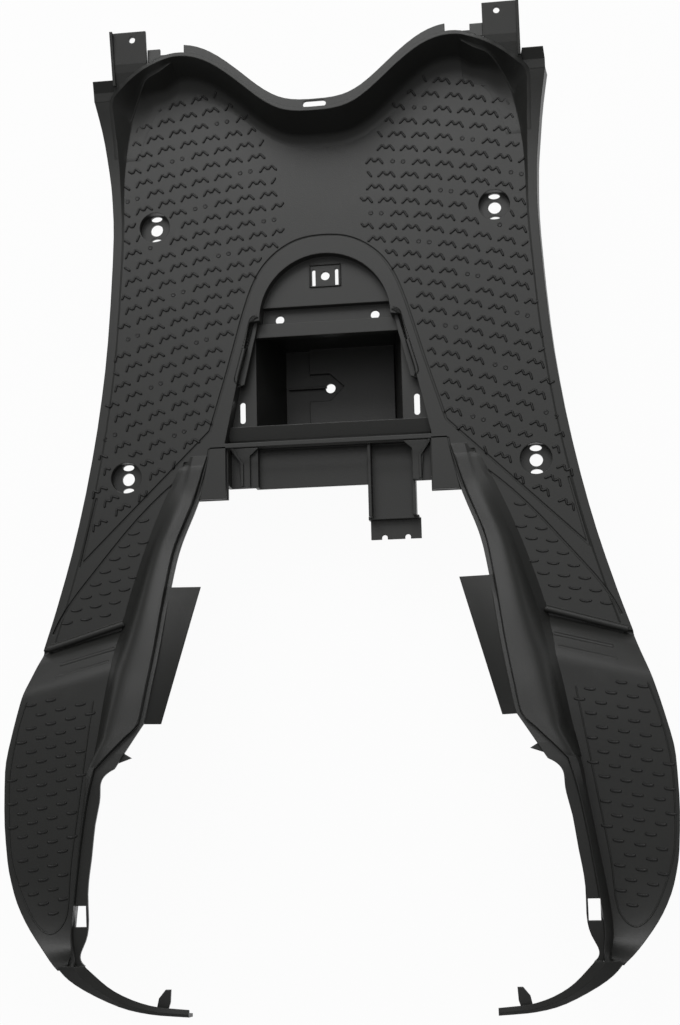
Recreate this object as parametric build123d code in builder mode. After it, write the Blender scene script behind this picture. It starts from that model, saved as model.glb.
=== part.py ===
from build123d import *
import os
from math import ceil, cos, hypot, radians, sin, tan

os.makedirs("parts", exist_ok=True)

# Frame: X to the right, Y to the front of the scooter, Z up. The origin is midway between the two rear
# bolt holes, on the bearing face under their seats. Lengths are millimetres. Heights in the tables
# below are counted from the tread surface, which lies at Z = deck.

# Walls and levels
wall = 2.5
rim_wall = 3.0
seat_depth = 7.0
seat_wall = 3.0
deck = seat_depth + seat_wall
skirt_depth = 22.0
skirt_flare = 1.5

# Bolts that hold the floor to the frame
rear_bolt_spacing = 314.0
front_bolt_spacing = 267.2
bolt_reach = 200.0
bolt_hole_radius = 5.0
seat_radius = 12.0
vent_length = 9.0
vent_width = 5.0
vent_offset = 9.2

# Front ramp, its bead and the joint flange for the panel in front
ramp_height = 35.0
ramp_angle = 75.0
bead_width = 3.0
flange_drop = 4.0
flange_reach = 11.0
slot_length = 18.0
slot_width = 5.5
catch_gap = 19.0
catch_gap_centre = 111.5

# Battery well, its ledges and bars
arch_radius = 51.0
arch_centre = 119.0
well_depth = 16.0
recess_depth = 9.0
recess_start = 131.0
box_width = 114.0
box_front = 118.0
box_rear = 24.0
box_depth = 90.0
box_foot_width = 90.0
box_foot_front = 116.5
box_foot_rear = 30.0
front_bar_width = 10.0
front_bar_top = 11.0
rear_bar_width = 16.0
rear_bar_top = 9.0
lid_screw_spacing = 75.0
lid_screw_radius = 3.5
lid_screw_y = 123.0
tongue_hole_y = 154.5
tongue_hole_radius = 3.5
strap_slot_x = 68.0
strap_slot_y = 50.0
drain_x = -8.4
drain_y = 84.4
drain_radius = 4.0
box_step = 5.0

# Tray, ledges and cable bracket behind the well
tray_level = 26.0
tray_left = -57.0
tray_right = 64.0
tray_rear = -9.0
side_ledge_level = 19.0
side_ledge_reach = 79.0
lap_level = 5.0
lap_rear = -20.0
bracket_left = 28.0
bracket_right = 64.5
bracket_rear = -51.0
bracket_bend = -35.0
bracket_level = 30.0
bracket_wall_height = 12.0
bracket_step = 6.0

# Pillion step and grip bars
pillion_rise = 17.0
bar_height = 1.8
groove_width = 1.6
groove_depth = 1.1

# Windows, clips and side plates on the rear arms
window_width = 8.5
window_length = 15.0
clip_width = 12.0
clip_length = 16.0

# Ribs under the tread
rib_thickness = 2.0
rib_height = 6.0


def wall_outline(path, thickness):
    """Closed outline of a bent wall: the path is its upper face, its thickness lies to the right of it."""
    steps = [(b[0] - a[0], b[1] - a[1]) for a, b in zip(path, path[1:])]
    normals = [(dy / hypot(dx, dy), -dx / hypot(dx, dy)) for dx, dy in steps]
    corners = zip([normals[0]] + normals, normals + [normals[-1]])
    under = []
    for (x, z), ((ax, az), (bx, bz)) in zip(path, corners):
        spread = thickness / (1 + ax * bx + az * bz)
        under.append((x + spread * (ax + bx), z + spread * (az + bz)))
    return path + under[::-1]


def section(start, toward, path, thickness=wall):
    """Upright cross-section of a wall on the plan line from start toward a second point."""
    run = Vector(toward[0] - start[0], toward[1] - start[1], 0).normalized()
    plane = Plane(origin=(start[0], start[1], deck), x_dir=run, z_dir=run.cross(Vector(0, 0, 1)))
    with BuildSketch(plane) as profile:
        with BuildLine():
            Polyline(*wall_outline(path, thickness), close=True)
        make_face()
    return profile.sketch


def cross_section(y, path, thickness=wall):
    """Cross-section of a wall square to the centre line, with the path's own X values."""
    return section((0, y), (1, y), path, thickness)


def fill_in(rows, pitch=20):
    """Rows at about one pitch of their first number: the others follow smooth curves that never overshoot."""
    gaps = [b[0] - a[0] for a, b in zip(rows, rows[1:])]
    slopes = [[(b - a) / gap for a, b in zip(p, q)] for p, q, gap in zip(rows, rows[1:], gaps)]
    bends = [slopes[0]]
    for before, after in zip(slopes, slopes[1:]):
        bends.append([0 if a * b <= 0 else 2 * a * b / (a + b) for a, b in zip(before, after)])
    bends.append(slopes[-1])
    filled = []
    for p, q, gap, start, end in zip(rows, rows[1:], gaps, bends, bends[1:]):
        count = ceil(abs(gap) / pitch)
        for t in [step / count for step in range(count)]:
            blend = ((1 + 2 * t) * (1 - t) ** 2, gap * t * (1 - t) ** 2, t * t * (3 - 2 * t), gap * t * t * (t - 1))
            filled.append([sum(w * v for w, v in zip(blend, values)) for values in zip(p, start, q, end)])
    return filled + [list(rows[-1])]


def ramp_section(x, foot, crest):
    """Section of the front ramp along the centre line: a rounded foot, a steep face, the bead and flange."""
    lean = radians(ramp_angle)
    rise = (1 - cos(lean)) / tan(lean)
    radius = (crest - foot - ramp_height / tan(lean)) / (sin(lean) - rise)
    flange = ramp_height - flange_drop
    back = crest + wall / sin(lean) - (flange_drop + wall) / tan(lean)
    with BuildSketch(Plane(origin=(x, 0, deck), x_dir=(0, 1, 0), z_dir=(1, 0, 0))) as profile:
        with BuildLine():
            upper = CenterArc((foot, radius), radius, -90, ramp_angle)
            lower = CenterArc((foot, radius), radius + wall, -90, ramp_angle)
            Polyline(
                upper @ 1,
                (crest, ramp_height),
                (crest + bead_width, ramp_height),
                (crest + bead_width + 1, flange),
                (crest + flange_reach, flange),
                (crest + flange_reach, flange - wall),
                (back, flange - wall),
                lower @ 1,
            )
            Line(lower @ 0, upper @ 0)
        make_face()
    return profile.sketch


# Front ramp: half-stations of X, foot and crest, repeated on the other side
ramp_stations = [
    (0, 256, 272.5),
    (25, 259, 275.5),
    (40, 267, 284),
    (55, 278.5, 297),
    (70, 290, 310),
    (85, 299, 320),
    (100, 303.5, 325),
    (112, 304.5, 325),
    (125, 302.5, 321.5),
]
with BuildPart() as ramp:
    mirrored_stations = [(-x, foot, crest) for x, foot, crest in ramp_stations[:0:-1]]
    loft([ramp_section(*station) for station in mirrored_stations + ramp_stations])

# Rim and skirt along the outer edge: Y, inner foot, inner top, outer edge, top height and skirt depth
rim_stations = [
    (-131, 213.5, 215, 221.5, 0.8, skirt_depth),
    (-100, 203.5, 205, 211.5, 0.8, skirt_depth),
    (-50, 189.5, 191, 197.5, 0.8, skirt_depth),
    (0, 178.5, 180, 186.5, 0.8, skirt_depth),
    (50, 170, 171.5, 178, 0.8, skirt_depth),
    (100, 164, 165.5, 172, 0.8, skirt_depth),
    (150, 160.5, 162, 168.5, 0.8, skirt_depth),
    (200, 158, 160, 166.5, 1.0, 0.9 * skirt_depth),
    (230, 158, 160.5, 167.5, 2.5, 0.7 * skirt_depth),
    (250, 157, 161, 169.5, 4.5, 0.5 * skirt_depth),
    (275, 153, 162, 172.5, 10.0, 0.2 * skirt_depth),
    (300, 145, 163, 177, 19.5, -0.2 * skirt_depth),
]
rim_sections = []
for y, foot, inner, outer, top, skirt in fill_in(rim_stations):
    rim_path = [(foot, 0), (inner, top), (outer, top), (outer + skirt_flare, -skirt)]
    rim_sections.append(cross_section(y, rim_path, rim_wall))

# Front corner between the ramp and the rim: Y, ramp height, crease and bead
corner_stations = [
    (300, (124, 0.2), (144, 1.0), (163, 19.5)),
    (307, (124, 0.9), (139, 5.0), (151, 27.0)),
    (312, (124, 4.4), (135, 11.0), (144, 29.5)),
    (317, (124, 17.6), (130, 21.0), (137, 31.5)),
    (321.5, (124, 34.0), (127, 34.5), (131, 34.0)),
]

# Lug in front of the corner: Y, inner edge, outer edge and height
lug_stations = [(299.5, 160, 162, 19), (307, 150, 159, 27), (317, 136, 159, 31.5), (323, 131, 159, 33.5),
                (347, 131, 159, 38)]
hook_stations = [(299.5, 159, 177, 19.5), (306, 158, 177, 21.5), (313, 160, 176, 28)]

# Side of the seat tunnel: Y, lip edge, then the ridge, shoulder and foot, each as X and height
tunnel_front = [
    (14, 90.5, 93.5, 0.8, 104, 0.8, 113, 0),
    (-20, 100, 104, 3.5, 113, 3.2, 122, 0),
    (-60, 114, 118.5, 11, 130, 9.5, 139, 0),
    (-90, 119.5, 123.5, 18, 138, 15.5, 149.5, 0),
    (-112, 122.5, 126.5, 23, 143, 20, 157, 0.5),
    (-131, 125, 129, 27, 147, 24, 160.5, 8),
    (-150, 128, 132, 31, 151.5, 28, 164.5, 16),
    (-170, 131.5, 135.5, 35, 156, 32.5, 169, 16.5),
    (-190, 135.5, 139.5, 38, 161, 36, 173, 16),
]
tunnel_end = [
    (-190, 135.5, 139.5, 38, 161, 36, 173, 16),
    (-200, 142, 149, 40, 164, 38, 175, 16),
    (-211, 149, 160, 42, 170, 39, 177.5, 15.5),
    (-222, 156, 170.5, 43, 176, 38, 179.5, 14.5),
]
tunnel_rear = [
    (-222, 156, 170.5, 43, 176, 38, 179.5, 14.5),
    (-240, 167, 175.5, 42, 180, 34, 182.5, 13.5),
    (-260, 171, 179.5, 40, 183.5, 30, 185.5, 12.5),
    (-285, 174.5, 183.5, 37.5, 187, 26, 189.5, 10.5),
    (-312, 178, 187, 35, 191, 22, 194, 8.5),
    (-332, 178, 189.5, 33, 193.5, 20, 196.5, 8),
    (-345, 181, 190, 31, 193.8, 20, 197, 9),
    (-362, 182, 189.5, 27, 193, 25, 197, 23),
]


def tunnel_section(y, lip, ridge, height, shoulder, shoulder_height, foot, foot_height):
    """Section of the tunnel side: a lip one flange_drop below the ridge, then down to the foot."""
    edge = [(lip, height - flange_drop), (ridge - 1, height - flange_drop), (ridge, height)]
    return cross_section(y, edge + [(shoulder, shoulder_height), (foot, foot_height - wall)])


# Pillion footrest: plan Y and X of its foot at the tunnel, Y and X of its outer edge, and their heights
# as shares of the pillion step
pillion_stations = [
    (-112, 157, -131, 221.5, 0, 0.05),
    (-124, 159, -143, 224.5, 0.3, 0.35),
    (-138, 161.5, -156, 229, 0.72, 0.76),
    (-150, 164, -168, 233, 1.0, 1.03),
    (-178, 170, -193, 240, 1.0, 1.0),
    (-212, 177, -222, 246, 0.91, 0.91),
    (-250, 183, -255, 247, 0.76, 0.76),
    (-285, 189.5, -288, 245, 0.62, 0.62),
    (-312, 194, -312, 240, 0.5, 0.53),
    (-332, 196.5, -332, 231, 0.44, 0.56),
    (-345, 197, -346, 221, 0.53, 0.72),
    (-355, 197, -357, 211, 0.95, 1.08),
    (-363, 197, -365, 202, 1.4, 1.4),
]
pillion_sections = []
for foot_y, foot_x, edge_y, edge_x, foot_share, edge_share in fill_in(pillion_stations, 12):
    span = hypot(edge_x - foot_x, edge_y - foot_y)
    footrest = [(-3, foot_share * pillion_rise), (span, edge_share * pillion_rise),
                (span + skirt_flare, -skirt_depth)]
    pillion_sections.append(section((foot_x, foot_y), (edge_x, edge_y), footrest))

# Tail band that sweeps in behind the footrest: run along it, start X and Y, heading in degrees, then the
# lip's height, and the ridge and the rim as distance and height, and the distance of the lower edge
tail_stations = [
    (0, 182, -362, 0, 23, 7.5, 27, 21, 23.5, 24),
    (9, 176, -369, -30, 19, 6.5, 22.5, 15, 19, 18),
    (23, 166, -379, -50, 13, 5, 16, 10, 13, 12.5),
    (41, 151, -388.5, -68, 4, 4, 6.5, 7.5, 4.5, 9.5),
    (58, 135, -394, -80, -2.5, 3.5, -1.5, 6, -3, 7.5),
    (80, 113, -397, -90, -9, 3.5, -8, 5.5, -9.5, 6.5),
]
tail_sections = []
for run, x, y, heading, lip, ridge, height, rim, rim_height, foot in fill_in(tail_stations, 10):
    toward = (x + cos(radians(heading)), y + sin(radians(heading)))
    band = [(0, lip), (ridge, height), (rim, rim_height), (foot, -skirt_depth)]
    tail_sections.append(section((x, y), toward, band))

with BuildPart() as side:
    loft(rim_sections)
    loft([cross_section(y, [ramp_end, crease, bead]) for y, ramp_end, crease, bead in corner_stations], ruled=True)
    loft([cross_section(y, [(a, z), (b, z)]) for y, a, b, z in lug_stations], ruled=True)
    loft([cross_section(y, [(a, z), (b, z)]) for y, a, b, z in hook_stations], ruled=True)
    loft([tunnel_section(*station) for station in fill_in(tunnel_front)])
    loft([tunnel_section(*station) for station in tunnel_end], ruled=True)
    loft([tunnel_section(*station) for station in fill_in(tunnel_rear)])
    loft(pillion_sections)
    loft(tail_sections)
    # Plate that hangs inside the arm, under the lip
    loft([cross_section(-88, [(97, 10), (121.5, 14.5)]), cross_section(-190, [(125, 22), (138, 33)])], ruled=True)
    # Bead at the foot of the pillion step and two grip bars on its slope
    for start, end, height, radius in (((158.5, -112.5), (218, -130), 0.2, 2.6),
                                       ((164, -132.5), (206, -143.5), 8.0, bar_height),
                                       ((167, -142.5), (208, -153), 12.6, bar_height)):
        run = Vector(end[0] - start[0], end[1] - start[1], 0)
        with BuildSketch(Plane(origin=(start[0], start[1], deck + height), z_dir=run)):
            Circle(radius)
        extrude(amount=run.length)
    # Stiffening edge of the lug, and the small catch where the tunnel opens
    loft([section((156.8, y), (159, y), [(0, z), (2.2, z)], wall) for y, z in ((307, 30.5), (347, 41.5))], ruled=True)
    with BuildSketch(Plane.XY.offset(deck + 33.5)):
        with BuildLine():
            Polyline((144, -214.5), (151.5, -210), (154, -218), close=True)
        make_face()
    extrude(amount=wall)
    # Clip tab on the tail
    with BuildSketch(Plane.XY.offset(deck - 14)):
        with BuildLine():
            Polyline((127, -383), (131, -383), (136, -389), (138.5, -400), (130, -400), (127.5, -392), close=True)
        make_face()
    extrude(amount=wall)

# Plan of the tread plate: each edge runs a little way under the part that it carries
lap = 1.5
with BuildSketch() as deck_plan:
    with BuildLine():
        front = Spline([(x, foot + lap) for x, foot, crest in ramp_stations], tangents=[(1, 0), (1, -0.2)])
        corner = Polyline(front @ 1, (125, 302.5), (143, 302.5), (146.5, 300))
        edge_points = [(foot + lap, y) for y, foot, *others in reversed(rim_stations)]
        edge = Spline(*edge_points[:4])
        edge_rear = Spline(*edge_points[3:])
        riser = Polyline(edge_rear @ 1, (214.6, -132.4), (156.6, -113.4))
        inner_edge = Spline([(156.6 - lap, -113.4), (148, -90), (137.5, -60), (120.5, -20), (111.5, 10)])
        link = Line(riser @ 1, inner_edge @ 0)
        root = Polyline(inner_edge @ 1, (94, 10), (92.5, 19.5), (0, 19.5))
        mirror(about=Plane.YZ)
    make_face()

# Plan of the battery well at tread level
with BuildSketch() as well_plan:
    with BuildLine():
        CenterArc((0, arch_centre), arch_radius, 0, 90)
        Polyline((arch_radius, arch_centre), (59, 118), (79.5, 23), (0, 23))
        mirror(about=Plane.YZ)
    make_face()
with BuildSketch() as recess_plan:
    add(well_plan.sketch_local)
    with Locations((0, recess_start + 50)):
        Rectangle(200, 100, mode=Mode.INTERSECT)


def box_section(height, width, front, rear, grow):
    """Rectangle across the battery box at a height, grown all round by a wall."""
    with BuildSketch(Plane.XY.offset(deck + height)) as profile:
        with Locations((0, (front + rear) / 2)):
            Rectangle(width + 2 * grow, front - rear + 2 * grow)
    return profile.sketch


def bolt_places():
    """Plan places of the four bolts that hold the floor."""
    rear = [(side * rear_bolt_spacing / 2, 0) for side in (-1, 1)]
    front = [(side * front_bolt_spacing / 2, bolt_reach) for side in (-1, 1)]
    return rear + front


with BuildPart() as well:
    # Battery well
    with BuildSketch(Plane.XY.offset(deck - well_depth - wall)):
        add(well_plan.sketch_local)
        offset(amount=wall)
    extrude(amount=well_depth + wall - 0.5)
    loft([box_section(-well_depth - 1, box_width, box_front, box_rear, wall),
          box_section(-box_depth - wall, box_foot_width, box_foot_front, box_foot_rear, wall)], ruled=True)
    with BuildSketch(Plane.XY.offset(deck - recess_depth)):
        add(recess_plan.sketch_local)
    extrude(amount=recess_depth + 5, mode=Mode.SUBTRACT)
    with BuildSketch(Plane.XY.offset(deck - well_depth)):
        add(well_plan.sketch_local)
        add(recess_plan.sketch_local, mode=Mode.SUBTRACT)
    extrude(amount=well_depth + 5, mode=Mode.SUBTRACT)
    with BuildSketch(Plane.XY.offset(deck - well_depth - 2 * wall)):
        add(recess_plan.sketch_local)
        with Locations((0, recess_start)):
            Rectangle(200, 2 * wall, mode=Mode.SUBTRACT)
    extrude(amount=well_depth + wall - recess_depth, mode=Mode.SUBTRACT)
    loft([box_section(-well_depth + 1, box_width, box_front, box_rear, 0),
          box_section(-box_depth, box_foot_width, box_foot_front, box_foot_rear, 0)], ruled=True,
         mode=Mode.SUBTRACT)
    with BuildSketch(Plane.XY.offset(deck - well_depth - wall)):
        with Locations((0, box_rear - wall - 1)):
            Rectangle(2 * side_ledge_reach + 1, 2 * wall)
    extrude(amount=well_depth + 2 * wall, mode=Mode.SUBTRACT)

    # Bars across the well, open below
    rear_bar_front = box_rear - wall + rear_bar_width
    rear_bar = [(box_rear - wall, -well_depth - wall), (box_rear + 3, -rear_bar_top - 3),
                (rear_bar_front, -rear_bar_top), (rear_bar_front, -well_depth - wall)]
    front_bar = [(box_front - front_bar_width, -well_depth - wall), (box_front - front_bar_width, -front_bar_top),
                 (box_front + 1, -front_bar_top), (box_front + 1, -well_depth - wall)]
    for bar_trace, reach in ((rear_bar, side_ledge_reach - 1), (front_bar, box_width / 2 + 1)):
        with BuildSketch(Plane.YZ):
            with Locations((0, deck)):
                with BuildLine():
                    Polyline(*[(y, z + deck) for y, z in wall_outline(bar_trace, wall)], close=True)
                make_face()
        extrude(amount=reach, both=True)

    # Ledges along the sides of the well
    with BuildSketch(Plane.XY.offset(deck - front_bar_top + 3)):
        with BuildLine():
            Polyline((53, 121.5), (59.5, 118.5), (70.5, 68), (64.5, 70), (55, 110), close=True)
        make_face()
        mirror(about=Plane.YZ)
    extrude(amount=wall)

    # Raised floor of the box with the pointed channel to the drain
    with BuildSketch(Plane.XY.offset(deck - box_depth - 0.5)):
        with BuildLine():
            Polyline((-25, box_foot_rear - 0.5), (box_foot_width / 2, box_foot_rear - 0.5),
                     (box_foot_width / 2, box_foot_front + 0.5), (-25, box_foot_front + 0.5),
                     (-25, drain_y + 11.5), (drain_x, drain_y + 11.5), (drain_x + 12, drain_y),
                     (drain_x, drain_y - 11.5), (-25, drain_y - 11.5), close=True)
        make_face()
        with Locations(((drain_x - box_foot_width / 2) / 2, drain_y)):
            Rectangle(box_foot_width / 2 + drain_x - 2 * drain_radius + 3, 1.5)
    extrude(amount=box_step + 0.5)
    with Locations((drain_x, drain_y, deck - box_depth - wall)):
        Cylinder(drain_radius, 4 * wall, mode=Mode.SUBTRACT)

    # Tray and ledges behind the well
    with BuildSketch(Plane.XY.offset(deck - tray_level - wall)):
        with BuildLine():
            Polyline((tray_left - wall, tray_rear), (bracket_left + 1, tray_rear), (bracket_left + 1, box_rear - 1),
                     (tray_left - wall, box_rear - 1), close=True)
        make_face()
    extrude(amount=wall)
    with BuildSketch(Plane.XY.offset(deck - tray_level - wall)):
        with Locations((tray_left - wall / 2, (tray_rear + box_rear) / 2 - 0.5)):
            Rectangle(wall, box_rear - tray_rear - 1)
    extrude(amount=tray_level - side_ledge_level + wall)
    for inner, outer in ((tray_left - wall, -side_ledge_reach), (tray_right, side_ledge_reach)):
        with BuildSketch(Plane.XY.offset(deck - side_ledge_level - wall)):
            with Locations(((inner + outer) / 2, (tray_rear + box_rear) / 2 - 0.5)):
                Rectangle(abs(outer - inner), box_rear - tray_rear - 1)
        extrude(amount=wall)

    # Lap plates beside them, one step below the tread, with the step's wall
    with BuildSketch(Plane.XY.offset(deck - lap_level - wall)):
        with BuildLine():
            Polyline((side_ledge_reach - 1, box_rear - 2.5), (93, box_rear - 2.5), (105, lap_rear),
                     (side_ledge_reach - 1, lap_rear), close=True)
        make_face()
        mirror(about=Plane.YZ)
    extrude(amount=wall)
    with BuildSketch(Plane.XY.offset(deck - lap_level - wall)):
        with BuildLine():
            Polyline((side_ledge_reach + 1, box_rear - 2), (93, box_rear - 2), (104, lap_rear), (101.5, lap_rear),
                     (90.5, box_rear - 2 - wall), (side_ledge_reach + 1, box_rear - 2 - wall), close=True)
        make_face()
        mirror(about=Plane.YZ)
    extrude(amount=lap_level + wall - 0.6)
    with BuildSketch(Plane.XY.offset(deck - side_ledge_level - wall)):
        with Locations((side_ledge_reach, (tray_rear + box_rear) / 2 - 0.5),
                       (-side_ledge_reach, (tray_rear + box_rear) / 2 - 0.5)):
            Rectangle(wall, box_rear - tray_rear - 1)
    extrude(amount=side_ledge_level - lap_level + wall - 0.5)

    # Slanted webs that hold the rear bar on its ledges
    with BuildSketch(Plane.XY.offset(deck - side_ledge_level - 1)):
        with BuildLine():
            Polyline((78.5, 22), (76, 22), (68, 10), (68, tray_rear + 1), (70, tray_rear + 1), (70, 9.5), close=True)
        make_face()
        mirror(about=Plane.YZ)
    extrude(amount=side_ledge_level - rear_bar_top - 4)

    # Cable bracket on the right: a channel with a stepped and notched end
    bracket_middle = (bracket_left + bracket_right) / 2
    bracket_span = bracket_right - bracket_left
    with BuildSketch(Plane.XY.offset(deck - bracket_level - wall)):
        with Locations((bracket_middle, (bracket_bend + box_rear) / 2)):
            Rectangle(bracket_span, box_rear - bracket_bend)
    extrude(amount=wall)
    with BuildSketch(Plane.XY.offset(deck - bracket_level - wall)):
        with Locations((bracket_left + wall / 2, (bracket_bend + box_rear) / 2),
                       (bracket_right - wall / 2, (bracket_bend + box_rear) / 2)):
            Rectangle(wall, box_rear - bracket_bend)
    extrude(amount=bracket_wall_height)
    with BuildSketch(Plane.XY.offset(deck - bracket_level - bracket_step - wall)):
        with Locations((bracket_middle, bracket_bend)):
            Rectangle(bracket_span + wall, wall)
    extrude(amount=bracket_step + wall)
    with BuildSketch(Plane.XY.offset(deck - bracket_level - bracket_step - wall)):
        with Locations((bracket_middle + 1, (bracket_bend + bracket_rear) / 2)):
            Rectangle(bracket_span + wall, bracket_bend - bracket_rear)
        with Locations((bracket_middle - 8, bracket_rear), (bracket_middle + 10, bracket_rear)):
            SlotOverall(7, 4.5, rotation=90, mode=Mode.SUBTRACT)
    extrude(amount=wall)

# Everything that is cut through or into the moulding
flange_height = deck + ramp_height - flange_drop
with BuildPart() as cutouts:
    # Bolt seats: a collar recess with its hole and two vents
    with Locations([(x, y, seat_wall) for x, y in bolt_places()]):
        Cylinder(seat_radius, 2 * deck, align=(Align.CENTER, Align.CENTER, Align.MIN))
    with BuildSketch(Plane.XY):
        with Locations(bolt_places()):
            Circle(bolt_hole_radius)
        with Locations([(x, y + vent) for x, y in bolt_places() for vent in (-vent_offset, vent_offset)]):
            Ellipse(vent_length / 2, vent_width / 2)
    extrude(amount=deck, both=True)

    # Holes and slots of the well
    with BuildSketch(Plane.XY.offset(deck - well_depth)):
        with Locations((-lid_screw_spacing / 2, lid_screw_y), (lid_screw_spacing / 2, lid_screw_y)):
            Circle(lid_screw_radius)
        with Locations((0, tongue_hole_y)):
            Circle(tongue_hole_radius)
        with Locations((-9, tongue_hole_y - 1.5), (9, tongue_hole_y - 1.5)):
            SlotOverall(14, 2.8, rotation=90)
        with Locations((-strap_slot_x, strap_slot_y), (strap_slot_x, strap_slot_y)):
            SlotOverall(17, 4.5, rotation=90)
    extrude(amount=well_depth - recess_depth + 1, both=True)

    # Slot and catch gaps in the front flange, holes in the lugs, windows in the arms
    with BuildSketch(Plane.XY.offset(flange_height - 2 * wall)):
        with Locations((0, 279.5)):
            SlotOverall(slot_length, slot_width)
        with Locations((-catch_gap_centre, 339.2), (catch_gap_centre, 339.2)):
            Rectangle(catch_gap, 20)
        with Locations((-142, 341), (142, 341)):
            Circle(wall)
        with Locations((-183.6, -326.5), (183.6, -326.5)):
            Rectangle(window_width, window_length)
    extrude(amount=6 * wall)

    # Grooves that outline the tread panel and the front of the pillion footrest
    with BuildSketch(Plane.XY.offset(deck - groove_depth)):
        with BuildLine():
            Polyline((180.3, -15), (192.5, -66), (91, 33.5))
            Spline([(91, 33.5), (81, 66), (71, 100), (60, 137), (46, 164), (25, 180), (0, arch_centre + 65.5)],
                   tangents=[(-0.3, 1), (-1, 0)])
            mirror(about=Plane.YZ)
        trace(line_width=groove_width)
        with BuildLine():
            Spline((119, -6), (160, -46), (180, -70), (203, -99), (214, -119))
            mirror(about=Plane.YZ)
        trace(line_width=groove_width)
    extrude(amount=2 * groove_depth)

with BuildPart() as floorboard:
    # Tread plate, open over the well
    with BuildSketch(Plane.XY.offset(deck - wall)):
        add(deck_plan.sketch_local)
        add(well_plan.sketch_local, mode=Mode.SUBTRACT)
    extrude(amount=wall)

    # Bolt bosses
    with Locations([(x, y, 0) for x, y in bolt_places()]):
        Cylinder(seat_radius + wall, deck - 1, align=(Align.CENTER, Align.CENTER, Align.MIN))

    # Ribs under the tread
    with BuildSketch(Plane.XY.offset(deck - wall - rib_height)):
        with Locations((0, 55), (0, 105), (0, 160), (0, 228)):
            Rectangle(2 * 165, rib_thickness)
        with Locations((105, 150), (-105, 150)):
            Rectangle(rib_thickness, 260)
        add(deck_plan.sketch_local, mode=Mode.INTERSECT)
        with BuildSketch(mode=Mode.SUBTRACT):
            add(well_plan.sketch_local)
            offset(amount=wall / 2)
    extrude(amount=rib_height + 0.5)

    # Ears of the catch gaps in the front flange
    with BuildSketch(Plane.XY.offset(flange_height - wall)):
        with Locations((126, 329), (-126, 329)):
            Rectangle(10, 10.5)
    extrude(amount=wall)

    # Well, ramp and both sides
    add(well.part)
    add(ramp.part)
    add(side.part)
    add(mirror(side.part, about=Plane.YZ, mode=Mode.PRIVATE))
    add(cutouts.part, mode=Mode.SUBTRACT)

print("floorboard", floorboard.part.is_valid, len(floorboard.part.solids()), floorboard.part.volume)
floorboard.part.label = "floorboard"
export_step(floorboard.part, "parts/floorboard.step")
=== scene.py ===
"""Scooter floorboard: the grained moulding, its tread marks and the studio around it. Metres, CAD frame."""
from math import atan2, cos, hypot, pi, radians, sin

import bmesh
import bpy
from mathutils import Matrix, Vector
from mathutils.bvhtree import BVHTree


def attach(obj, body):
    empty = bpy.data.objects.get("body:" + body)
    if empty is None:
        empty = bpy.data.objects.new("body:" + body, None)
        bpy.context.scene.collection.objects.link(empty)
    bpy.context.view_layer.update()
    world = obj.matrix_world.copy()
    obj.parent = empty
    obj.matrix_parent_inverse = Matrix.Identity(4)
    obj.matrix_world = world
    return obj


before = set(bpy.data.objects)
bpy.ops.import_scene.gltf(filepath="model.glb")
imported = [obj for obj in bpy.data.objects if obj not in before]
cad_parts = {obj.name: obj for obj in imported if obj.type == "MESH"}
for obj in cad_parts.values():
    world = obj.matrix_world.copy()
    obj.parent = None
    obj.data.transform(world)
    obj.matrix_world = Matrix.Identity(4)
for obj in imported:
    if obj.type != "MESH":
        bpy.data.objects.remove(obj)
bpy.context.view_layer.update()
moulding_body = "root"
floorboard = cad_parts["floorboard"]

MM = 0.001
DECK = 10 * MM                 # tread surface above the bolts' bearing face
RAY_START = 0.2                # height from which rays look down on the moulding


# Node trees

class Wire:
    """A value on its way between sockets; arithmetic on wires adds Math nodes to their tree."""

    def __init__(self, sheet, socket):
        self.sheet = sheet
        self.socket = socket

    def reckon(self, operation, *values):
        return self.sheet.node("ShaderNodeMath", {"operation": operation}, dict(enumerate(values)))

    def __add__(self, other):
        return self.reckon("ADD", self, other)

    def __sub__(self, other):
        return self.reckon("SUBTRACT", self, other)

    def __rsub__(self, other):
        return self.reckon("SUBTRACT", other, self)

    def __mul__(self, other):
        return self.reckon("MULTIPLY", self, other)

    def __truediv__(self, other):
        return self.reckon("DIVIDE", self, other)

    def __mod__(self, other):
        return self.reckon("FLOORED_MODULO", self, other)

    def __floordiv__(self, other):
        return self.reckon("FLOOR", self.reckon("DIVIDE", self, other))

    def __lt__(self, other):
        return self.reckon("LESS_THAN", self, other)

    def __gt__(self, other):
        return self.reckon("GREATER_THAN", self, other)

    __radd__ = __add__
    __rmul__ = __mul__

    def clip(self):
        """The same value kept between 0 and 1."""
        return self.sheet.node("ShaderNodeClamp", {}, {0: self})


class Sheet:
    """A node tree that is filled one node at a time."""

    def __init__(self, tree):
        self.tree = tree

    def node(self, kind, settings, values, output=0):
        """Adds a node with its settings, sets or links its inputs, and hands on one of its outputs."""
        new = self.tree.nodes.new(kind)
        for name, setting in settings.items():
            setattr(new, name, setting)
        for key, value in values.items():
            self.connect(new.inputs[key], value)
        return None if output is None else Wire(self, new.outputs[output])

    def connect(self, socket, value):
        if isinstance(value, Wire):
            self.tree.links.new(value.socket, socket)
        else:
            socket.default_value = value


def between(sheet, share, first, second):
    """The colour that lies a share of the way from the first to the second."""
    return sheet.node("ShaderNodeMix", {"data_type": "RGBA"}, {0: share, 6: first, 7: second}, 2)


# Finishes

def shade(tint, level):
    """A tint made lighter or darker, as an opaque colour."""
    return (*[level * part for part in tint], 1)


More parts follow.
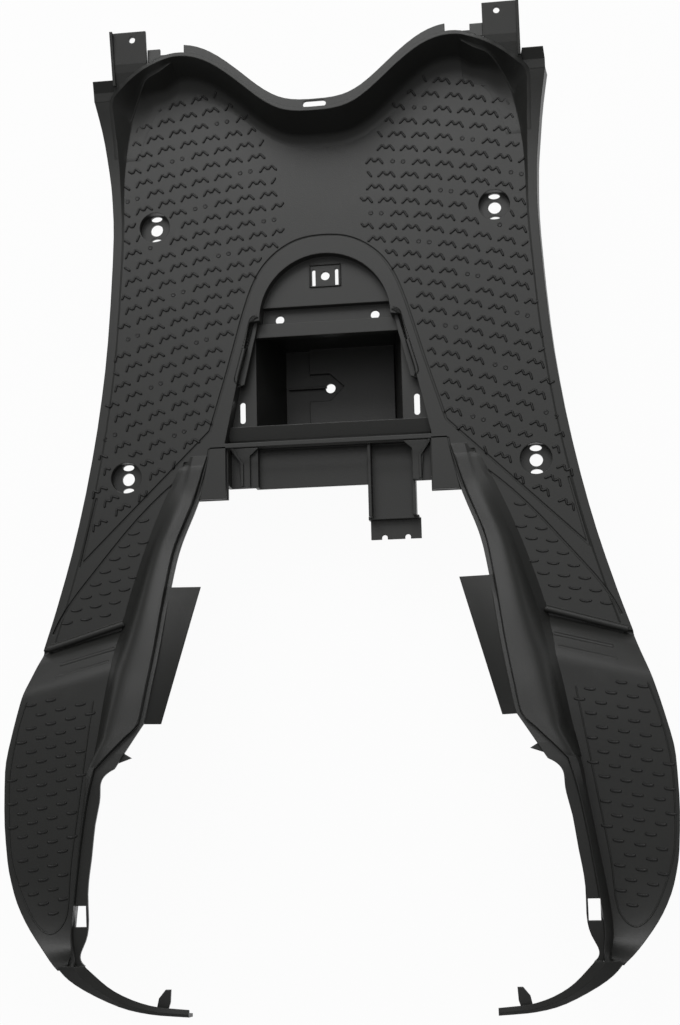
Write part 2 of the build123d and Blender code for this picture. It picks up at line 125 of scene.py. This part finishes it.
def moulded_plastic(name, tint, grain, gloss):
    """Black grained polypropylene: moulded grain, faint flow clouds, rubbed streaks, and edges made lighter both
    as rubbing wear and as painted highlight.
    """
    material = bpy.data.materials.new(name)
    material.use_nodes = True
    material.node_tree.nodes.clear()
    sheet = Sheet(material.node_tree)
    place = sheet.node("ShaderNodeTexCoord", {}, {}, "Object")

    # Grain: pebbles about half a millimetre wide, with a finer tooth on them
    pebble = sheet.node("ShaderNodeTexVoronoi", {"feature": "SMOOTH_F1"},
                        {"Vector": place, "Scale": 1500.0, "Smoothness": 0.6}, "Distance")
    tooth = sheet.node("ShaderNodeTexNoise", {}, {"Vector": place, "Scale": 4200.0, "Detail": 2.0}, "Fac")
    height = pebble * 0.7 + tooth * 0.3

    # Clouds where the melt flowed, and streaks rubbed along the part
    cloud = sheet.node("ShaderNodeTexNoise", {}, {"Vector": place, "Scale": 9.0, "Detail": 4.0}, "Fac")
    stretched = sheet.node("ShaderNodeMapping", {}, {"Vector": place, "Scale": (420.0, 60.0, 200.0)})
    streak = sheet.node("ShaderNodeTexNoise", {}, {"Vector": stretched, "Scale": 1.0, "Detail": 3.0}, "Fac")
    scuff = ((streak - 0.6) / 0.18).clip()

    # Edges rounded by the mould and rubbed by hands and shoes; the lighter colour along them is also painted
    # highlight for the reflections on rounded edges
    rounded = sheet.node("ShaderNodeBevel", {"samples": 6}, {"Radius": 0.9 * MM}, "Normal")
    sharp = sheet.node("ShaderNodeNewGeometry", {}, {}, "Normal")
    agreement = sheet.node("ShaderNodeVectorMath", {"operation": "DOT_PRODUCT"}, {0: rounded, 1: sharp}, "Value")
    edge = ((1 - agreement) * 5.0).clip()

    clouded = between(sheet, cloud, shade(tint, 0.86), shade(tint, 1.14))
    # Painted highlight: rounded edges get a lighter colour in place of their reflections, along with the rubbing
    # wear and streaks
    worn_and_highlit = between(sheet, (edge * 0.35 + scuff * 0.05).clip(), clouded, shade(tint, 2.6))
    bump = sheet.node("ShaderNodeBump", {}, {
        "Height": height, "Strength": grain, "Distance": 0.12 * MM, "Normal": rounded})
    roughness = (gloss + (cloud - 0.5) * 0.12 - edge * 0.10 - scuff * 0.04).clip()
    shader = sheet.node("ShaderNodeBsdfPrincipled", {}, {
        "Base Color": worn_and_highlit, "Roughness": roughness, "Normal": bump, "IOR": 1.49})
    sheet.node("ShaderNodeOutputMaterial", {}, {"Surface": shader}, None)
    return material


moulding = moulded_plastic("grained_black_moulding", (0.020, 0.0205, 0.019), 0.50, 0.44)
# The tread marks get a darker tint than the moulding: painted shade for the shading on their sloping sides
painted_shade_tread = moulded_plastic("rubbed_tread_marks", (0.007, 0.007, 0.0065), 0.25, 0.48)
floorboard.data.materials.clear()
floorboard.data.materials.append(moulding)


# Tread marks

level_slack = 0.5                               # how far a mark may lie below the tread, in millimetres
bolt_centres = ((157.0, 0.0), (133.6, 200.0))   # on the right, in millimetres
bolt_clearance = 15.5                           # bare ring about a bolt's centre, in millimetres


def new_piece(name, shape):
    """Turns a finished bmesh into an object at the origin, with its faces outward."""
    bmesh.ops.recalc_face_normals(shape, faces=shape.faces)
    mesh = bpy.data.meshes.new(name)
    shape.to_mesh(mesh)
    shape.free()
    piece = bpy.data.objects.new(name, mesh)
    bpy.context.scene.collection.objects.link(piece)
    return piece


def field(name, outline):
    """Both mirror halves of a flat field, whose outline is given in millimetres on the right."""
    shape = bmesh.new()
    for side in (-1, 1):
        shape.faces.new([shape.verts.new((side * x * MM, y * MM, 0)) for x, y in outline])
    return new_piece(name, shape)


def ridge(name, path, half_width, half_top, height, sink):
    """A low ridge along a flat path in millimetres, with sloped sides and ends that run down."""
    shape = bmesh.new()
    rings = []
    last = len(path) - 1
    for i, (x, y) in enumerate(path):
        ax, ay = path[max(i - 1, 0)]
        bx, by = path[min(i + 1, last)]
        length = hypot(bx - ax, by - ay)
        across = Vector((-(by - ay) / length, (bx - ax) / length, 0))
        narrow, top = (0.45, 0) if i in (0, last) else (1, height)
        ring = [(half_width, -sink), (half_top, top), (-half_top, top), (-half_width, -sink)]
        rings.append([shape.verts.new((Vector((x, y, z)) + across * reach * narrow) * MM) for reach, z in ring])
    for near, far in zip(rings, rings[1:]):
        for i in range(4):
            shape.faces.new((near[i], near[(i + 1) % 4], far[(i + 1) % 4], far[i]))
    shape.faces.new(rings[0][::-1])
    shape.faces.new(rings[-1])
    return new_piece(name, shape)


def dished_pip(name, radius, height, sink, sides=14):
    """A low round pip with a dished top."""
    shape = bmesh.new()
    rings = []
    for reach, z in ((1.0, -sink), (0.86, 0.7 * height), (0.68, height), (0.42, 0.55 * height)):
        turns = [2 * pi * k / sides for k in range(sides)]
        rings.append([shape.verts.new(Vector((cos(t), sin(t), 0)) * radius * reach * MM + Vector((0, 0, z * MM)))
                      for t in turns])
    for near, far in zip(rings, rings[1:]):
        for k in range(sides):
            shape.faces.new((near[k], near[(k + 1) % sides], far[(k + 1) % sides], far[k]))
    shape.faces.new(rings[-1])
    shape.faces.new(rings[0][::-1])
    return new_piece(name, shape)


def new_tree(name, numbers, shapes):
    """A geometry tree with a field, named numbers, named shapes and a finish as its inputs."""
    tree = bpy.data.node_groups.new(name, "GeometryNodeTree")
    kinds = [("Field", "NodeSocketGeometry")]
    kinds += [(key, "NodeSocketFloat") for key in numbers]
    kinds += [(key, "NodeSocketObject") for key in ["Moulding", *shapes]]
    kinds.append(("Finish", "NodeSocketMaterial"))
    for key, kind in kinds:
        tree.interface.new_socket(key, in_out="INPUT", socket_type=kind)
    tree.interface.new_socket("Marks", in_out="OUTPUT", socket_type="NodeSocketGeometry")
    sheet = Sheet(tree)
    source = tree.nodes.new("NodeGroupInput")
    return sheet, {socket.name: Wire(sheet, socket) for socket in source.outputs if socket.name}


def shape_of(sheet, item):
    """The mesh of an object that is given as an input."""
    return sheet.node("GeometryNodeObjectInfo", {}, {"Object": item}, "Geometry")


def lay_marks(sheet, given, count, x, y, keep, turn, length, marks, choice):
    """Sets marks on the moulding at places in millimetres, where they lie in the field and are kept."""
    place = sheet.node("ShaderNodeCombineXYZ", {}, {0: x * MM, 1: y * MM, 2: RAY_START})
    points = sheet.node("GeometryNodePoints", {}, {"Count": count, "Position": place}, "Points")
    down = {"Source Position": place, "Ray Direction": (0, 0, -1), "Ray Length": 1.0}
    in_field = sheet.node("GeometryNodeRaycast", {}, {"Target Geometry": given["Field"], **down}, "Is Hit")
    landing = sheet.node("GeometryNodeRaycast", {}, {
        "Target Geometry": shape_of(sheet, given["Moulding"]), **down}, "Hit Position")
    lean = Wire(sheet, landing.socket.node.outputs["Hit Normal"])
    level = sheet.node("ShaderNodeSeparateXYZ", {}, {0: landing}, "Z")
    upright = sheet.node("FunctionNodeAlignRotationToVector", {"axis": "Z"}, {"Vector": lean})
    spin = sheet.node("FunctionNodeAxisAngleToRotation", {}, {"Axis": (0, 0, 1), "Angle": turn})
    facing = sheet.node("FunctionNodeRotateRotation", {"rotation_space": "LOCAL"}, {
        "Rotation": upright, "Rotate By": spin})
    seated = sheet.node("GeometryNodeSetPosition", {}, {"Geometry": points, "Position": landing})
    kept = in_field * keep * (level > DECK - level_slack * MM) > 0.5
    laid = sheet.node("GeometryNodeInstanceOnPoints", {}, {
        "Points": seated, "Selection": kept, "Instance": marks, "Pick Instance": True,
        "Instance Index": choice, "Rotation": facing,
        "Scale": sheet.node("ShaderNodeCombineXYZ", {}, {0: length, 1: 1.0, 2: 1.0})})
    real = sheet.node("GeometryNodeRealizeInstances", {}, {"Geometry": laid})
    done = sheet.node("GeometryNodeSetMaterial", {}, {"Geometry": real, "Material": given["Finish"]})
    sheet.node("NodeGroupOutput", {}, {0: done}, None)


def gather(sheet, given, names):
    """The named shapes as separate instances, in that order."""
    joined = sheet.node("GeometryNodeJoinGeometry", {}, {})
    for name in reversed(names):
        piece = sheet.node("GeometryNodeGeometryToInstance", {}, {"Geometry": shape_of(sheet, given[name])})
        sheet.tree.links.new(piece.socket, joined.socket.node.inputs[0])
    return joined


def zigzag_tree():
    """Rows of zigzag marks, four strokes each, with a pair of pips in every tenth place."""
    numbers = ["Columns", "Rows", "First column", "Column pitch", "First row", "Row pitch", "Front spread",
               "Bow", "Bow growth", "Outer reach", "Inner reach", "Outer lean", "Inner lean",
               "Outer length", "Inner length", "Stroke lift", "Pip reach"]
    sheet, given = new_tree("zigzag_rows", numbers, ["Stroke", "Pip"])
    index = sheet.node("GeometryNodeInputIndex", {}, {})
    part = index % 4
    cell = index // 4
    column = cell % given["Columns"]
    row = (cell // given["Columns"]) % given["Rows"]
    side = (cell // (given["Columns"] * given["Rows"])) * 2 - 1
    step = column * 2 + row % 2
    out = given["First column"] + given["Column pitch"] * step
    early = sheet.node("ShaderNodeMath", {"operation": "MAXIMUM"}, {0: 8 - row, 1: 0.0})
    bow = given["Bow"] + given["Bow growth"] * row * row
    along = given["First row"] - given["Row pitch"] * row + given["Front spread"] * early * early - bow * out * out
    slope = sheet.node("ShaderNodeMath", {"operation": "ARCTANGENT"}, {0: bow * out * -2})

    # Place of each stroke in its mark, seen from the centre outward
    outer = sheet.node("ShaderNodeMath", {"operation": "COMPARE"}, {
        0: sheet.node("ShaderNodeMath", {"operation": "ABSOLUTE"}, {0: part - 1.5}), 1: 1.5, 2: 0.1})
    half = (part > 1.5) * 2 - 1
    is_pips = (step - row * 2 - 4) % 10 < 0.5
    reach = half * (given["Inner reach"] + outer * (given["Outer reach"] - given["Inner reach"]))
    reach = reach + is_pips * (half * given["Pip reach"] - reach)
    lift = given["Stroke lift"] * (1 - outer) * (1 - is_pips)
    lean = given["Inner lean"] + outer * (given["Outer lean"] - given["Inner lean"])
    lean = half * lean * (1 - outer * 2)
    length = given["Inner length"] + outer * (given["Outer length"] - given["Inner length"])
    length = length + is_pips * (1 - length)
    cosine = sheet.node("ShaderNodeMath", {"operation": "COSINE"}, {0: slope})
    sine = sheet.node("ShaderNodeMath", {"operation": "SINE"}, {0: slope})
    x = side * (out + reach * cosine - lift * sine)
    y = along + reach * sine + lift * cosine
    keep = 1 - is_pips * (1 - outer)
    for bolt_x, bolt_y in bolt_centres:
        away = (side * x - bolt_x) * (side * x - bolt_x) + (y - bolt_y) * (y - bolt_y)
        keep = keep * (away > bolt_clearance * bolt_clearance)
    count = given["Columns"] * given["Rows"] * 8
    lay_marks(sheet, given, count, x, y, keep, side * (slope + lean), length,
              gather(sheet, given, ["Stroke", "Pip"]), is_pips)
    return sheet.tree


def bar_tree():
    """Staggered rows of short curved bars that fall outward in straight lines."""
    numbers = ["Columns", "Rows", "First column", "Column pitch", "First row", "Row pitch", "Fall", "Turn"]
    sheet, given = new_tree("bar_rows", numbers, ["Bar"])
    index = sheet.node("GeometryNodeInputIndex", {}, {})
    column = index % given["Columns"]
    row = (index // given["Columns"]) % given["Rows"]
    side = (index // (given["Columns"] * given["Rows"])) * 2 - 1
    step = column * 2 + row % 2
    out = given["Column pitch"] * step
    along = given["First row"] - given["Row pitch"] * row - given["Fall"] * out
    count = given["Columns"] * given["Rows"] * 2
    lay_marks(sheet, given, count, side * (given["First column"] + out), along, 1.0, side * given["Turn"] * -1,
              1.0, gather(sheet, given, ["Bar"]), 0)
    return sheet.tree


def grow(plate, tree, **inputs):
    """Runs a tree on a field plate and returns the plain mesh object of its marks."""
    maker = plate.modifiers.new("rows", "NODES")
    maker.node_group = tree
    sockets = {item.name.replace(" ", "_"): item.identifier for item in tree.interface.items_tree
               if item.in_out == "INPUT"}
    for key, value in inputs.items():
        maker[sockets[key]] = value
    depsgraph = bpy.context.evaluated_depsgraph_get()
    mesh = bpy.data.meshes.new_from_object(plate.evaluated_get(depsgraph))
    marks = bpy.data.objects.new(plate.name.replace("field", "marks"), mesh)
    bpy.context.scene.collection.objects.link(marks)
    bpy.data.objects.remove(plate)
    return marks


# Outlines of the fields, on the right in millimetres
main_field = [(30, 181), (31, 215), (36, 238), (40, 252), (48, 270), (60, 288), (74, 300), (88, 310),
              (118, 308), (142, 298), (149, 283), (153, 268), (156.5, 240), (157, 200), (158, 165),
              (161, 130), (165.5, 95), (171, 60), (176, 30), (180, 5), (185, -25), (189, -48),
              (187, -56), (160, -31), (93, 34), (84, 70), (74, 104), (63, 139), (49, 168)]
front_pillion = [(124, -14), (160, -49), (180, -73), (203, -104), (209, -114), (203, -119), (165, -110),
                 (155, -92), (143, -58)]
rear_pillion = [(182, -166), (224, -168), (232, -190), (241, -225), (242, -255), (240, -285), (232, -312),
                (217, -336), (206, -338), (199, -322), (197, -290), (190, -245), (182, -200), (178, -172)]

# One of each mark: half width, half width of the top, height and depth below the moulding
stroke = ridge("stroke", [(-0.5, 0), (-0.36, 0), (0, 0), (0.36, 0), (0.5, 0)], 1.15, 0.5, 0.95, 0.3)
pips = dished_pip("pip", 2.0, 0.5, 0.3)
arc = [(-4.6, 0.6), (-4.0, 0.2), (-2.2, -0.45), (0, -0.7), (2.2, -0.45), (4.0, 0.2), (4.6, 0.6)]
long_bar = ridge("long_bar", arc, 1.0, 0.4, 0.75, 0.6)
broad_bar = ridge("broad_bar", [(x * 0.9, y * 0.7) for x, y in arc], 1.35, 0.6, 0.65, 0.6)

shared = {"Moulding": floorboard, "Finish": painted_shade_tread}
zigzags = grow(field("tread_field", main_field), zigzag_tree(), **shared, Stroke=stroke, Pip=pips,
               Columns=10.0, Rows=31.0, First_column=5.75, Column_pitch=9.1, First_row=306.2,
               Row_pitch=10.5, Front_spread=0.08, Bow=0.0008, Bow_growth=1.4e-6,
               Outer_reach=4.9, Inner_reach=1.5, Outer_lean=radians(52), Inner_lean=radians(48),
               Outer_length=6.6, Inner_length=4.8, Stroke_lift=0.8, Pip_reach=4.1)
bars = bar_tree()
front_bars = grow(field("front_pillion_field", front_pillion), bars, **shared, Bar=long_bar,
                  Columns=6.0, Rows=14.0, First_column=143.5, Column_pitch=7.5, First_row=-34.0,
                  Row_pitch=8.35, Fall=0.16, Turn=0.1)
rear_bars = grow(field("rear_pillion_field", rear_pillion), bars, **shared, Bar=broad_bar,
                 Columns=5.0, Rows=22.0, First_column=180.3, Column_pitch=7.55, First_row=-163.0,
                 Row_pitch=8.66, Fall=0.215, Turn=0.14)
for template in (stroke, pips, long_bar, broad_bar):
    bpy.data.objects.remove(template)
for marks in (zigzags, front_bars, rear_bars):
    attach(marks, moulding_body)


# Forms laid over the moulding, in millimetres above the tread

ground_limit = 6               # moulding that lies more than this above a skin is not its ground
skin_cover = 0.2               # height of a skin above its ground, and depth of its border in it
skin_thickness = 0.8
welt_thickness = 0.4
welt_sink = 0.3                # depth of a welt's feet in the moulding
crease_angle = radians(32)
sides = (("right", 1), ("left", -1))
surface = BVHTree.FromPolygons([floorboard.matrix_world @ v.co for v in floorboard.data.vertices],
                               [list(face.vertices) for face in floorboard.data.polygons])


def height_at(x, y):
    """Height of the moulding above the tread at a place in millimetres, or None beside it."""
    hit = surface.ray_cast(Vector((x * MM, y * MM, RAY_START)), Vector((0, 0, -1)))[0]
    return None if hit is None else (hit.z - DECK) / MM


def smooth_rows(rows, steps):
    """Rows with a number of steps between each two, on smooth curves through them all."""
    filled = []
    for i in range(len(rows) - 1):
        a, b, c, d = (rows[min(max(k, 0), len(rows) - 1)] for k in (i - 1, i, i + 1, i + 2))
        for t in [step / steps for step in range(steps)]:
            filled.append([q + t * (r - p) / 2 + t * t * (p - 2.5 * q + 2 * r - s / 2)
                           + t ** 3 * (1.5 * (q - r) + (s - p) / 2) for p, q, r, s in zip(a, b, c, d)])
    return filled + [list(rows[-1])]


def skin(name, rows, cover, thickness):
    """A thin moulded skin through rows of points; with a cover it clears the moulding and its border dips in."""
    shape = bmesh.new()
    layers = ([], [])
    for j, row in enumerate(rows):
        for layer, drop in zip(layers, (0, thickness)):
            ring = []
            for i, (x, y, z) in enumerate(row):
                under = height_at(x, y) if cover else None
                if under is not None and under < z + ground_limit:
                    at_border = i in (0, len(row) - 1) or j in (0, len(rows) - 1)
                    z = under - cover if at_border else max(z, under + cover)
                ring.append(shape.verts.new(Vector((x, y, z - drop)) * MM + Vector((0, 0, DECK))))
            layer.append(ring)
    top, bottom = layers
    for layer in layers:
        for near, far in zip(layer, layer[1:]):
            for i in range(len(near) - 1):
                shape.faces.new((near[i], near[i + 1], far[i + 1], far[i]))
    for upper, lower in ((top[0], bottom[0]), (top[-1], bottom[-1]),
                         ([ring[0] for ring in top], [ring[0] for ring in bottom]),
                         ([ring[-1] for ring in top], [ring[-1] for ring in bottom])):
        for i in range(len(upper) - 1):
            shape.faces.new((upper[i], upper[i + 1], lower[i + 1], lower[i]))
    piece = new_piece(name, shape)
    for face in piece.data.polygons:
        face.use_smooth = True
    piece.data.set_sharp_from_angle(angle=crease_angle)
    return piece


def slab_piece(name, outline, top, thickness):
    """A flat plate with an outline and the height of its top."""
    shape = bmesh.new()
    faces = []
    for level in (top, top - thickness):
        faces.append([shape.verts.new(Vector((x, y, level)) * MM + Vector((0, 0, DECK))) for x, y in outline])
    for corners in faces:
        shape.faces.new(corners)
    for i in range(len(outline)):
        j = (i + 1) % len(outline)
        shape.faces.new((faces[0][i], faces[0][j], faces[1][j], faces[1][i]))
    return new_piece(name, shape)


# Front corners: heading about the pivot, then foot, dish edge and its height, ridge and its height
corner_pivot = (112, 255)
corner_rows = [
    (90, 49.5, 68.1, 28, 70, 35.2),
    (80, 45, 62.4, 27.5, 67.3, 35.2),
    (70, 43.5, 61.5, 24, 65.8, 33.8),
    (64, 42, 60, 17.5, 65.3, 32),
    (58, 40, 57.8, 10.5, 65.1, 30.2),
    (53, 38, 55.8, 7, 65.1, 28),
    (48, 36, 53.7, 4.5, 65.6, 25.7),
    (43, 35, 52, 3, 66.6, 22),
    (38, 34, 50.5, 2, 64.6, 18),
    (30, 33, 48.2, 1.2, 58.4, 13.6),
    (15, 32, 44.8, 0.6, 51.4, 8.4),
    (0, 32, 44.3, 0.3, 49.2, 5.5),
]
steepest = radians(75)
bend_steps, face_steps, lip_steps = 9, 3, 5
corner = []
for heading, foot, dish, rise, ridge_at, ridge_height in smooth_rows(corner_rows, 4):
    # A rounded foot that runs on as a straight face, then a lip along the dish edge
    span = dish - foot
    lean = min(steepest, 1.8 * atan2(rise, span))
    radius = (span * sin(lean) - rise * cos(lean)) / (1 - cos(lean))
    bend = radius * sin(lean)
    run = [(foot + radius * sin(lean * k / bend_steps), radius * (1 - cos(lean * k / bend_steps)))
           for k in range(bend_steps + 1)]
    bend_height = run[-1][1]
    for k in range(1, face_steps + 1):
        share = k / face_steps
        run.append((foot + bend + (span - bend) * share, bend_height + (rise - bend_height) * share))
    run += [(dish + 0.3, rise + 0.8), (dish + 0.9, rise + 0.9)]
    for k in range(1, lip_steps + 1):
        share = k / lip_steps
        run.append((dish + 1 + (ridge_at - dish - 1) * share, rise + (ridge_height - rise) * share))
    run += [(ridge_at + 2.6, ridge_height), (ridge_at + 3.4, ridge_height - 2.5)]
    turn = radians(heading)
    corner.append([(corner_pivot[0] + reach * cos(turn), corner_pivot[1] + reach * sin(turn), z)
                   for reach, z in run])

# Side of the seat tunnel: Y, then ridge, shoulder, knee and foot as X and height
tunnel_rows = [
    (8, 95.5, 1.0, 103, 1.0, 110, 0.9, 115, 0),
    (-6, 99, 1.6, 107, 1.9, 116.5, 1.2, 121.5, 0),
    (-20, 104, 3.6, 113, 3.9, 123, 1.6, 128, 0),
    (-40, 111.5, 7.3, 121.5, 7.5, 130.5, 2.6, 136.5, 0),
    (-60, 118.5, 11.1, 130, 10.7, 138.5, 3.4, 144, 0),
    (-90, 123.5, 18.1, 138, 16.8, 147.5, 5, 154, 0),
    (-112, 126.5, 23.1, 143, 21.4, 154, 6, 160, 0.6),
    (-131, 129, 27.1, 147, 25.4, 158, 12.5, 163.5, 8.3),
    (-150, 132, 31.1, 151.5, 29.4, 162, 19.5, 166, 16.8),
    (-170, 135.5, 35.1, 156, 33.8, 166, 21, 170, 17),
    (-190, 139.6, 38.1, 161, 37, 170, 21.5, 173.5, 16.2),
    (-200, 149, 40.1, 164, 38.3, 172, 20, 175.5, 16.2),
    (-211, 160, 42.1, 170, 39.3, 175.5, 21, 178, 15.7),
    (-221, 170, 43, 175.7, 38.3, 178, 24, 180, 14.8),
]
tunnel = []
for y, *pairs in smooth_rows(tunnel_rows, 4):
    points = [(pairs[i], y, pairs[i + 1]) for i in range(0, 8, 2)]
    face = smooth_rows(points[:3], 7)
    inner_edge = (points[0][0] - 0.3, y, points[0][2] - 1)
    tunnel.append([inner_edge] + [tuple(point) for point in face] + [points[3]])

forms = []
for form, rows in (("front_corner", corner), ("tunnel_side", tunnel)):
    for side_name, sign in sides:
        turned_rows = [[(sign * x, y, z) for x, y, z in row] for row in rows]
        forms.append(skin(f"{form}_{side_name}", turned_rows, skin_cover, skin_thickness))

# Plates beside the well: outline on the right, height of the top, thickness
plates = {"lap_plate": ([(79, 20.5), (91, 20.5), (93.4, 8), (99.5, -19.8), (79, -19.8)], 0, 3.0),
          "fork_web": ([(56, 22), (78.5, 22), (72, 14.5), (70, -8.6), (63, -8.6), (63, 15.7)], -16.0, 3.2)}
for side_name, sign in sides:
    for form, (outline, top, thickness) in plates.items():
        forms.append(slab_piece(f"{form}_{side_name}", [(sign * x, y) for x, y in outline], top, thickness))


def welt(path, half_width, height, side):
    """Rows of a low welt that follows the moulding along a path, with its feet sunk in."""
    rows = []
    for i, (x, y) in enumerate(path):
        ax, ay = path[max(i - 1, 0)]
        bx, by = path[min(i + 1, len(path) - 1)]
        length = hypot(bx - ax, by - ay)
        across = (-(by - ay) / length, (bx - ax) / length)
        base = height_at(side * x, y) or 0
        rows.append([(side * (x + across[0] * reach * half_width), y + across[1] * reach * half_width, base + lift)
                     for reach, lift in ((-1, -welt_sink), (-0.5, height), (0.5, height), (1, -welt_sink))])
    return rows


# Welts: the border of the rear footrest panel, the frame of the tongue hole and the seal strips of the well
pad_border = [(178, -171), (184, -208), (190.5, -250), (197, -292), (199.5, -322), (203.5, -334), (211, -340),
              (219, -337), (227, -327), (236, -307), (242, -285), (243.5, -255), (242.5, -225), (236, -192),
              (229, -170)]
seal_strip = [(52.6, 122.8), (57.2, 119.6), (60.5, 108), (65.5, 90), (69.8, 73.5), (68.6, 70.5)]
frame_corners = [(-12, 146), (12, 146), (12, 163.5), (-12, 163.5), (-12, 146)]
border = smooth_rows([list(point) for point in pad_border], 6)
strip = smooth_rows([list(point) for point in seal_strip], 8)
welts = {}
for side_name, sign in sides:
    welts[f"footrest_border_{side_name}"] = welt(border, 0.8, 0.45, sign)
    welts[f"seal_strip_{side_name}"] = welt(strip, 1.7, 0.7, sign)
    for i, (x, y) in enumerate(strip[2:-2], 2):
        cross = [(x - 1.5, y - 0.9), (x + 1.5, y + 0.9)]
        welts[f"seal_rib_{side_name}_{i}"] = welt(cross, 0.35, 1.3, sign)
for i, ends in enumerate(zip(frame_corners, frame_corners[1:])):
    welts[f"tongue_frame_{i}"] = welt(ends, 0.7, 1.2, 1)
for name, rows in welts.items():
    forms.append(skin(name, rows, None, welt_thickness))
for form in forms:
    form.data.materials.append(moulding)
    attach(form, moulding_body)


# Studio

def white_backdrop(name, lit, shown):
    """A pale matt surface that the camera and reflections see as white."""
    material = bpy.data.materials.new(name)
    material.use_nodes = True
    material.node_tree.nodes.clear()
    sheet = Sheet(material.node_tree)
    path = sheet.node("ShaderNodeLightPath", {}, {}, "Is Camera Ray")
    outputs = path.socket.node.outputs
    seen = (path + Wire(sheet, outputs["Is Glossy Ray"]) + Wire(sheet, outputs["Is Transmission Ray"])).clip()
    matt = sheet.node("ShaderNodeBsdfDiffuse", {}, {"Color": (lit, lit, lit, 1)})
    glow = sheet.node("ShaderNodeEmission", {}, {"Color": (1, 1, 1, 1), "Strength": 1.0})
    mixed = sheet.node("ShaderNodeMixShader", {}, {0: seen * shown, 1: matt, 2: glow})
    sheet.node("ShaderNodeOutputMaterial", {}, {"Surface": mixed}, None)
    return material


floor_level = -82.6 * MM
slab = bmesh.new()
bmesh.ops.create_grid(slab, x_segments=1, y_segments=1, size=3.0)
bmesh.ops.translate(slab, verts=slab.verts, vec=(0, 0, floor_level))
floor = new_piece("floor", slab)
floor.data.materials.append(white_backdrop("white_floor", 0.8, 0.96))


def soft_lamp(name, place, aim, size, power):
    """A square soft box at a place, turned to face its aim."""
    lamp = bpy.data.lights.new(name, "AREA")
    lamp.shape = "RECTANGLE"
    lamp.size, lamp.size_y = size
    lamp.energy = power
    box = bpy.data.objects.new(name, lamp)
    box.matrix_world = Matrix.Translation(place) @ (
        (Vector(place) - Vector(aim)).to_track_quat("Z", "Y").to_matrix().to_4x4())
    bpy.context.scene.collection.objects.link(box)


soft_lamp("front_soft_box", (-0.25, 1.5, 1.5), (0, 0.05, 0), (1.6, 1.2), 24.0)
soft_lamp("top_soft_box", (0.1, 0.4, 2.4), (0, 0, 0), (1.8, 1.8), 8.0)

world = bpy.data.worlds.new("studio_air")
world.use_nodes = True
world.node_tree.nodes.clear()
air = Sheet(world.node_tree)
# White to the camera, dim as a light, a little brighter in reflections
ray = air.node("ShaderNodeLightPath", {}, {}, "Is Camera Ray")
glints = Wire(air, ray.socket.node.outputs["Is Glossy Ray"])
brightness = 0.12 + (ray * 0.88 + glints * 0.18)
sky = air.node("ShaderNodeBackground", {}, {"Color": (1, 1, 1, 1), "Strength": brightness})
air.node("ShaderNodeOutputWorld", {}, {"Surface": sky}, None)
bpy.context.scene.world = world

# Camera: the photograph's own view, from above, a little to the right and behind the middle
lens = bpy.data.cameras.new("camera")
lens.sensor_fit = "AUTO"
lens.sensor_width = 36.0
lens.lens = 57.33
camera = bpy.data.objects.new("camera", lens)
right = Vector((0.9911, -0.0235, -0.1314))
up = Vector((0.0447, 0.9859, 0.1611))
back = right.cross(up)
turned = Matrix((right, up, back)).transposed().to_4x4()
standpoint = (0.16330, -0.23832, 1.21436)
camera.matrix_world = Matrix.Translation(standpoint) @ turned
bpy.context.scene.collection.objects.link(camera)
bpy.context.scene.camera = camera
bpy.context.scene.view_settings.view_transform = "Standard"
